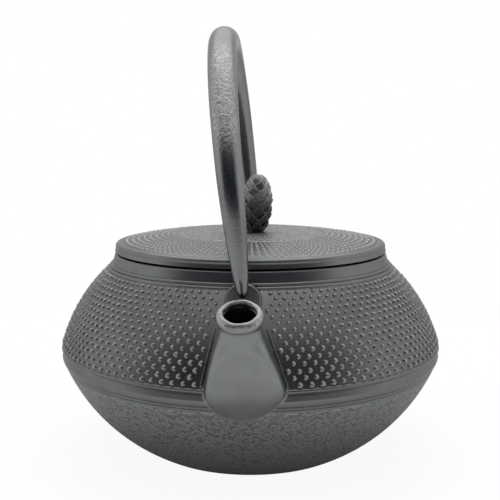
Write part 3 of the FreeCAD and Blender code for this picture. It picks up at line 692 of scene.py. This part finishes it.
# The lid's bead tips get a painted highlight
lid_iron = iron("lid iron", 0.185, 0.36, grain=0.16, pits=0.20, stone=lid_rough, wear_and_sheen=bead_tip_highlight)
lid_points = turned(lid_profile, LID_COLUMNS)
to_middle = np.clip((LID_BOSS - lid_profile[:, 0]) / (LID_BOSS - LID_SHANK_HOLE), 0, 1)
lid_points[..., 0] += KNOB_OFFSET * to_middle[:, None]
lid_piece(piece("lid_plate", lid_points, grid_faces(len(lid_profile), LID_COLUMNS, True).tolist()))
lid_turn = np.arange(DOTS_ROUND) * 2 * math.pi / DOTS_ROUND
ring_radius = LID_DOT_RINGS[:, None]
ring_height = np.interp(ring_radius, lid_top[::-1, 0], lid_top[::-1, 1])
lid_dots = np.stack(np.broadcast_arrays(ring_radius * np.cos(lid_turn), ring_radius * np.sin(lid_turn),
                                        ring_height - DOT_SINK), axis=-1).reshape(-1, 3)
upright = np.broadcast_to((0.0, 0.0, 1.0), lid_dots.shape)
lid_dot_scale = np.linalg.norm(lid_dots[:, :2], axis=1) / LID_DOT_RINGS[-1]
lid_dot_scale *= rng.uniform(*LID_DOT_SPREAD, len(lid_dots))
lid_piece(beads("lid_dots", lid_dots, upright, LID_DOT_RADIUS * lid_dot_scale,
                (LID_DOT_HEIGHT + DOT_SINK) * lid_dot_scale))


# Knob. A small iron casting in the form of a pine cone, leaning a little: whorls of scales, each overlapping
# the whorl above it with pointed free edges that stand out. Its shank goes through the lid and is peened over
# the washer below.
KNOB_FOOT_HEIGHT = 100.65 * MM
KNOB_LEAN = math.radians(4)
KNOB_HEIGHT = 26.3 * MM
KNOB_RADIUS = 7.6 * MM
KNOB_FOOT = 5.0 * MM
KNOB_TIP = 1.6 * MM
KNOB_WIDEST = 0.48
KNOB_RELIEF = 1.25 * MM
SCALE_RIM = 0.22 * MM
SCALE_RIM_WIDTH = 0.032
SHANK_RADIUS = 2.5 * MM
RIVET_RADIUS = 3.8 * MM
RIVET_HEIGHTS = np.array([94.7, 95.9]) * MM
SCALES_ROUND = 7
# The height of each whorl's points, as a share of the cone's, from the top whorl down
WHORLS = np.array([1.03, 0.965, 0.895, 0.81, 0.71, 0.595, 0.465, 0.33, 0.19])
SCALE_LENGTH = 0.21
SCALE_DROP = 0.115
# The power by which a scale's edge falls from its point, and how much lower its face lies at its sides
SCALE_POINT = 1.15
SCALE_CROWN = 0.35
# Near the cone's tip a scale's edge falls less: by a share of the drop, more at a rate below a level
TIP_SHARE = 0.35
TIP_RATE = 1.6
TIP_LEVEL = 1.12
KNOB_COLUMNS = 210
KNOB_ROWS = 190
# How much painted shade darkens the cone at its foot, and the share of its height over which that fades
FOOT_PAINTED_SHADE = 0.35
FOOT_FADE = 0.7


def cone_radius(share):
    """The pine cone's radius at a share of its height: two half ellipses that meet where it is widest."""
    low = KNOB_WIDEST / math.sqrt(1 - (KNOB_FOOT / KNOB_RADIUS) ** 2)
    high = (1 - KNOB_WIDEST) / math.sqrt(1 - (KNOB_TIP / KNOB_RADIUS) ** 2)
    reach = np.where(share < KNOB_WIDEST, low, high)
    return KNOB_RADIUS * np.sqrt(1 - ((share - KNOB_WIDEST) / reach) ** 2)


def scaled_radius(angle, share):
    """The cone with its scales: from the top whorl down, each covers all that lies below its pointed edges.

    A scale's edge falls from its point by drop * |across|^power, less near the cone's tip, and its face sinks
    by relief over its length below the edge, from a thin raised rim. The second result is 1 on the rims and
    falls to 0 away from them.
    """
    surface = cone_radius(share) - KNOB_RELIEF + 0 * angle
    rims = np.zeros_like(surface)
    for whorl, point in enumerate(WHORLS):
        across = ((angle * SCALES_ROUND / (2 * math.pi) + 0.5 * (whorl % 2)) % 1) * 2 - 1
        drop = SCALE_DROP * (TIP_SHARE + (1 - TIP_SHARE) * min(1.0, TIP_RATE * (TIP_LEVEL - point)))
        edge = point - drop * np.abs(across) ** SCALE_POINT
        sunk = np.clip(1 - (edge - share) / SCALE_LENGTH, 0, 1)
        face = KNOB_RELIEF * sunk * (1 - SCALE_CROWN * across ** 2)
        rim = np.exp(-((edge - share) / SCALE_RIM_WIDTH) ** 2)
        surface = np.where(share < edge, cone_radius(share) - KNOB_RELIEF + face + SCALE_RIM * rim, surface)
        rims = np.where(share < edge, rim, rims)
    return surface, rims


knob_angle = np.arange(KNOB_COLUMNS) * 2 * math.pi / KNOB_COLUMNS
cone_share = np.linspace(0, 1, KNOB_ROWS)[:, None]
cone, cone_rims = scaled_radius(knob_angle, cone_share)
cone_x, cone_z = cone * np.cos(knob_angle), KNOB_HEIGHT * cone_share
shank = np.array([
    (RIVET_RADIUS, RIVET_HEIGHTS[0]),
    (RIVET_RADIUS, RIVET_HEIGHTS[1]),
    (SHANK_RADIUS, RIVET_HEIGHTS[1]),
    (SHANK_RADIUS, KNOB_FOOT_HEIGHT),
])
knob_points = np.concatenate([
    turned(shank, KNOB_COLUMNS),
    np.stack([cone_x * math.cos(KNOB_LEAN) + cone_z * math.sin(KNOB_LEAN), cone * np.sin(knob_angle),
              KNOB_FOOT_HEIGHT + cone_z * math.cos(KNOB_LEAN) - cone_x * math.sin(KNOB_LEAN)], axis=-1),
]) + (KNOB_OFFSET, 0, 0)
knob_faces = grid_faces(len(knob_points), KNOB_COLUMNS, False).tolist() + caps(len(knob_points), KNOB_COLUMNS)
knob = piece("pine_cone_knob", knob_points, knob_faces, sharp=50)
rims = knob.data.attributes.new("scale_rims", "FLOAT", "POINT")
rims.data.foreach_set("value", np.concatenate([np.zeros(shank.shape[0] * KNOB_COLUMNS), cone_rims.ravel()]))


def rim_highlight(place):
    """The rims of the scales, lightened as a painted highlight."""
    return 1.0 * place.node("ShaderNodeAttribute", {"attribute_name": "scale_rims"}, {}, "Fac")


def foot_painted_shade(place):
    """The lower half of the cone, painted with shade that grows darker towards its foot."""
    top = KNOB_FOOT_HEIGHT + FOOT_FADE * KNOB_HEIGHT
    return FOOT_PAINTED_SHADE * (1.0 - place.part("Z").step(KNOB_FOOT_HEIGHT, top))


# The scale rims get a painted highlight, and the cone's foot painted shade
knob_iron = iron("knob iron", 0.19, 0.40, grain=0.10, pits=0.30, wear_and_sheen=rim_highlight, darkened=foot_painted_shade)
knob.data.materials.append(knob_iron)
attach(knob, "knob")
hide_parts("lid_knob")


# Handle. A round iron bail, thickest at the crown and tapered to the feet, where each end turns in through a
# lug as a hook. It leans a little to one side, held by the friction of its hooks. The outside of the bow is
# rough from the sand, and there its colour is speckled with bare metal, partly real wear and partly a painted
# highlight.
BAIL_SPAN = 75.7 * MM
BAIL_SPRING = 112.4 * MM
BAIL_LEAN = math.radians(-6.3)
HOOK_END = 67.5 * MM
HOOK_BEND = 2.4 * MM
HOOK_RADIUS = 1.7 * MM
# Radii of the bar at heights on the leg, and at angles on the bow above its spring
LEG_HEIGHTS = np.array([86.6, 89.6, 95.7, 112.4]) * MM
LEG_RADII = np.array([2.4, 2.95, 3.5, 4.5]) * MM
BOW_ANGLES = np.radians([30, 60, 90])
BOW_RADII = np.array([5.6, 6.1, 6.6]) * MM
# Where the bow is rough and speckled with bare metal, partly real wear and partly a painted highlight:
# heights where this starts, is full, starts to end and ends, how far outside the bow's middle line it starts
# and is full, and its strength
ROUGH_HEIGHTS = np.array([136.0, 152.0, 174.0, 186.0]) * MM
ROUGH_OUTSIDE = np.array([1.5, 5.0]) * MM
BOW_ROUGH_AND_SHEEN = 0.6
BAIL_COLUMNS = 48
bend_turn = np.linspace(-math.pi / 2, -math.pi, 10)[1:]
bow_turn = np.linspace(math.pi, math.pi / 2, 90)
leg_height = np.linspace(HINGE_HEIGHT + HOOK_BEND, BAIL_SPRING, 30)[1:-1]
hook_line = np.linspace(-HOOK_END, HOOK_BEND - BAIL_SPAN, 8)
half_bail = np.vstack([
    np.column_stack([hook_line, np.full_like(hook_line, HINGE_HEIGHT)]),
    np.column_stack([HOOK_BEND - BAIL_SPAN + HOOK_BEND * np.cos(bend_turn),
                     HINGE_HEIGHT + HOOK_BEND + HOOK_BEND * np.sin(bend_turn)]),
    np.column_stack([np.full_like(leg_height, -BAIL_SPAN), leg_height]),
    np.column_stack([BAIL_SPAN * np.cos(bow_turn), BAIL_SPRING + BAIL_SPAN * np.sin(bow_turn)]),
])
bail_line = np.vstack([half_bail, half_bail[-2::-1] * (-1, 1)])
run = np.concatenate([[0], np.cumsum(np.linalg.norm(np.diff(half_bail, axis=0), axis=1))])
bow_start = run[-1] - BAIL_SPAN * math.pi / 2
stops = np.concatenate([
    [0, BAIL_SPAN - HOOK_END - HOOK_BEND],
    bow_start - (BAIL_SPRING - LEG_HEIGHTS),
    bow_start + BAIL_SPAN * BOW_ANGLES,
])
half_radius = through(run, stops, np.concatenate([[HOOK_RADIUS, HOOK_RADIUS], LEG_RADII, BOW_RADII]))
bail_radius = np.concatenate([half_radius, half_radius[-2::-1]])
lean_x = math.sin(BAIL_LEAN) * (bail_line[:, 1] - HINGE_HEIGHT)
lean_z = HINGE_HEIGHT + math.cos(BAIL_LEAN) * (bail_line[:, 1] - HINGE_HEIGHT)
bail_path = np.column_stack([lean_x, bail_line[:, 0], lean_z])
bail_along = np.gradient(bail_path, axis=0)
bail_along /= np.linalg.norm(bail_along, axis=1, keepdims=True)
bail_side = np.broadcast_to((math.cos(BAIL_LEAN), 0.0, -math.sin(BAIL_LEAN)), bail_path.shape)
bail_up = np.cross(bail_along, bail_side)
bail_points = swept(bail_path, bail_side, bail_up, bail_radius, bail_radius, BAIL_COLUMNS)
bail_faces = grid_faces(len(bail_path), BAIL_COLUMNS, False).tolist() + caps(len(bail_path), BAIL_COLUMNS)
handle = piece("bail_bar", bail_points, bail_faces, sharp=60)


def bow_rough_and_sheen(place):
    """The outside of the bow, between its haunches and its crown."""
    ends = {0: place, 1: (0.0, 0.0, BAIL_SPRING)}
    spring = place.node("ShaderNodeVectorMath", {"operation": "SUBTRACT"}, ends)
    outside = spring.length((0.0, 1.0, 1.0)).step(*(BAIL_SPAN + ROUGH_OUTSIDE).tolist())
    height = place.part("Z")
    return BOW_ROUGH_AND_SHEEN * outside * (height.step(*ROUGH_HEIGHTS[:2]) - height.step(*ROUGH_HEIGHTS[2:]))


# The bow's outside gets rough stone and bare-metal speckles, partly real wear and partly a painted highlight
handle_iron = iron("handle iron", 0.20, 0.28, grain=0.20, pits=0.25, stone=bow_rough_and_sheen, wear_and_sheen=bow_rough_and_sheen)
handle.data.materials.append(handle_iron)
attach(handle, "bail")
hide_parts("handle")


# Washer and strainer. Thin steel: a plain washer under the lid's boss, and a basket of pressed sheet with
# fine punched holes in its wall and floor, whose flat rim hangs in the neck.
PUNCH_PITCH = 1.6 * MM
# A hole's radius as a share of the pitch, and the shares of its square between which its edge fades
PUNCH_RADIUS = 0.27
PUNCH_EDGE = np.array([0.85, 1.15])
BASKET_RADIUS = 48.7 * MM
BRUSHING = 0.7 * MM
STEEL_SHADES = (0.85, 1.1)
STEEL_ROUGHNESS = (0.28, 0.12)


def steel(name, tone, punched=None):
    """Brushed steel sheet; punched gives, from the coordinates, the two lengths its holes are spaced on."""
    look, shader, place = material(name, Metallic=1.0)
    brushing = place.noise(BRUSHING, 2.0)
    feed(shader, {
        "Base Color": brushing.between(*([shade * tone] * 3 for shade in STEEL_SHADES)),
        "Roughness": STEEL_ROUGHNESS[0] + STEEL_ROUGHNESS[1] * brushing,
    })
    if punched:
        column, row = (length / PUNCH_PITCH for length in punched(place))
        stagger = 0.5 * row.math("MODULO", row.math("FLOOR", row), 2.0)
        u = column.math("FRACT", column + stagger) - 0.5
        v = row.math("FRACT", row) - 0.5
        feed(shader, {"Alpha": (u * u + v * v).step(*(PUNCH_RADIUS ** 2 * PUNCH_EDGE).tolist())})
    return look


def round_the_wall(place):
    """The length round the basket's wall and the height on it, above a zero that keeps both positive."""
    angle = place.math("ARCTAN2", place.part("Y"), place.part("X")) + math.pi
    return angle * BASKET_RADIUS, place.part("Z")


def over_the_floor(place):
    """The two level lengths over the basket's floor, from a corner that keeps both positive."""
    return place.part("X") + BASKET_RADIUS, place.part("Y") + BASKET_RADIUS


FINISHES = {
    "knob_washer": steel("washer steel", 0.50),
    "strainer_rim": steel("strainer rim steel", 0.60),
    "strainer_wall": steel("strainer wall steel", 0.60, round_the_wall),
    "strainer_floor": steel("strainer floor steel", 0.60, over_the_floor),
}
for node, look in FINISHES.items():
    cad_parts[node].data.materials.clear()
    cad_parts[node].data.materials.append(look)


# Setting. A white floor that keeps the pot's shadow, and white beyond it. Only the metal mirrors the dome
# round the pot: bright overhead and behind, white round about, and dark low in front, like the far floor
# mirrored there. The camera stands before the spout.
FLOOR_SIZE = 8.0
FLOOR_WHITE = 0.86
FLOOR_LIFT = 0.93
# How much of the floor's lift the metal mirrors beside the pot, and how much more in front of it
FLOOR_SHEEN = (0.05, 0.5)
# Where the floor's changes start and end: distances from the pot, or in front of it
FLOOR_SHEEN_REACH = (0.095, 0.14)
FLOOR_SHADE_REACH = (0.16, 0.40)
FLOOR_DARK_REACH = (0.45, 1.4)
DOME_RADIUS = 3.0
DOME_DARK = (0.03, 0.035, 0.05)
DOME_WHITE = (0.95, 0.95, 0.95)
DOME_SIDE = (1.15, 1.15, 1.13)
DOME_BRIGHT = (2.30, 2.28, 2.24)
DOME_LIGHT_ANGLE = math.radians(28)
# Where each change in the dome starts and ends, in directions from its middle as shares of its radius
DOME_SIDE_REACH, DOME_SIDE_HEIGHTS = (0.3, 0.95), (0.25, 0.6)
DOME_DARK_REACH, DOME_DARK_HEIGHTS = (0.2, 0.6), (0.5, 0.95)
DOME_BRIGHT_REACH = (0.80, 0.90)
LAMP_PLACE = (0.0, 0.30, 1.20)
LAMP_WIDTH = 1.0
LAMP_POWER = 12.0
SKY = 0.55
CAMERA_DISTANCE = 0.400
CAMERA_HEIGHT = 0.1468
CAMERA_AZIMUTH = math.radians(2.3)
CAMERA_PITCH = math.radians(7.9)
CAMERA_PAN = math.radians(0.03)
CAMERA_LENS = 61.5


def ray(tree, kind):
    """1 for rays of that kind and 0 for others."""
    return Wire(tree, tree.nodes.new("ShaderNodeLightPath").outputs[f"Is {kind} Ray"])


def seen(tree):
    """1 for rays from the camera, from a mirror or through glass, and 0 for the rays that light things."""
    kinds = [ray(tree, kind) for kind in ("Camera", "Glossy", "Transmission")]
    return kinds[0].math("MAXIMUM", kinds[0], kinds[1].math("MAXIMUM", kinds[1], kinds[2]))


def glowing(place, colour):
    """Light of a colour, as a shader."""
    light = colour if isinstance(colour, Wire) else (*colour, 1.0)
    return place.node("ShaderNodeEmission", {}, {"Color": light})


def show(look, shader):
    """Makes a shader the surface of a material."""
    look.node_tree.links.new(shader.socket, look.node_tree.nodes["Material Output"].inputs["Surface"])


floor_corners = np.array([(-1, -1, 0), (1, -1, 0), (1, 1, 0), (-1, 1, 0)]) * FLOOR_SIZE / 2
floor = piece("floor", floor_corners, [(0, 1, 2, 3)])
floor_look, floor_shader, floor_place = material("white floor", Roughness=1.0, Specular_IOR_Level=0.0,
                                                 Base_Color=(FLOOR_WHITE, FLOOR_WHITE, FLOOR_WHITE, 1.0))
floor.data.materials.append(floor_look)
floor_tree = floor_look.node_tree
far_out = floor_place.length((1.0, 1.0, 0.0)).step(*FLOOR_SHADE_REACH)
forward = -1.0 * floor_place.part("Y")
sheen = FLOOR_SHEEN[0] + FLOOR_SHEEN[1] * forward.step(*FLOOR_SHEEN_REACH)
watched = ray(floor_tree, "Camera") + sheen * ray(floor_tree, "Glossy")
lift = (FLOOR_LIFT + (1 - FLOOR_LIFT) * far_out) * watched
lifted = floor_place.node("ShaderNodeMixShader", {}, {0: lift, 1: Wire(floor_tree, floor_shader.outputs[0]),
                                                      2: glowing(floor_place, (1.0, 1.0, 1.0))})
in_front = forward.step(*FLOOR_DARK_REACH) * ray(floor_tree, "Glossy")
show(floor_look, floor_place.node("ShaderNodeMixShader", {}, {0: in_front, 1: lifted,
                                                              2: glowing(floor_place, DOME_DARK)}))

DOME_ROWS, DOME_COLUMNS = 24, 48
dome_rise = np.linspace(0, math.pi / 2 - 0.01, DOME_ROWS)
dome_profile = DOME_RADIUS * np.column_stack([np.cos(dome_rise), np.sin(dome_rise)])
dome = piece("dome", turned(dome_profile, DOME_COLUMNS),
             grid_faces(DOME_ROWS, DOME_COLUMNS, False).tolist() + caps(DOME_ROWS, DOME_COLUMNS)[1:])
dome.visible_camera = False
dome.visible_shadow = False
dome.visible_diffuse = False
dome_look, _, dome_place = material("dome light")
dome.data.materials.append(dome_look)
ahead = -1.0 / DOME_RADIUS * dome_place.part("Y")
height = 1.0 / DOME_RADIUS * dome_place.part("Z")
aside = dome_place.length((1.0 / DOME_RADIUS, 0.0, 0.0)).step(*DOME_SIDE_REACH)
beside = aside * (1.0 - height.step(*DOME_SIDE_HEIGHTS))
shaded = ahead.step(*DOME_DARK_REACH) * (1.0 - height.step(*DOME_DARK_HEIGHTS))
round_about = shaded.between(beside.between(DOME_WHITE, DOME_SIDE), DOME_DARK)
overhead = math.cos(DOME_LIGHT_ANGLE) * height - math.sin(DOME_LIGHT_ANGLE) * ahead
show(dome_look, glowing(dome_place, overhead.step(*DOME_BRIGHT_REACH).between(round_about, DOME_BRIGHT)))

lamp = bpy.data.objects.new("lamp", bpy.data.lights.new("lamp", "AREA"))
lamp.data.size = LAMP_WIDTH
lamp.data.energy = LAMP_POWER
lamp.location = LAMP_PLACE
lamp.visible_glossy = False
lamp.rotation_euler = (-math.atan2(LAMP_PLACE[1], LAMP_PLACE[2]), 0.0, 0.0)
bpy.context.collection.objects.link(lamp)

world = bpy.data.worlds.new("white surroundings")
bpy.context.scene.world = world
world.use_nodes = True
background = world.node_tree.nodes["Background"]
background.inputs["Color"].default_value = (1.0, 1.0, 1.0, 1.0)
feed(background, {"Strength": SKY + (1 - SKY) * seen(world.node_tree)})

view = bpy.data.objects.new("camera", bpy.data.cameras.new("camera"))
view.data.lens = CAMERA_LENS
view.location = (CAMERA_DISTANCE * math.sin(CAMERA_AZIMUTH), -CAMERA_DISTANCE * math.cos(CAMERA_AZIMUTH),
                 CAMERA_HEIGHT)
view.rotation_euler = (math.pi / 2 - CAMERA_PITCH, 0.0, CAMERA_AZIMUTH + CAMERA_PAN)
bpy.context.collection.objects.link(view)
bpy.context.scene.camera = view
bpy.context.scene.view_settings.view_transform = "Standard"
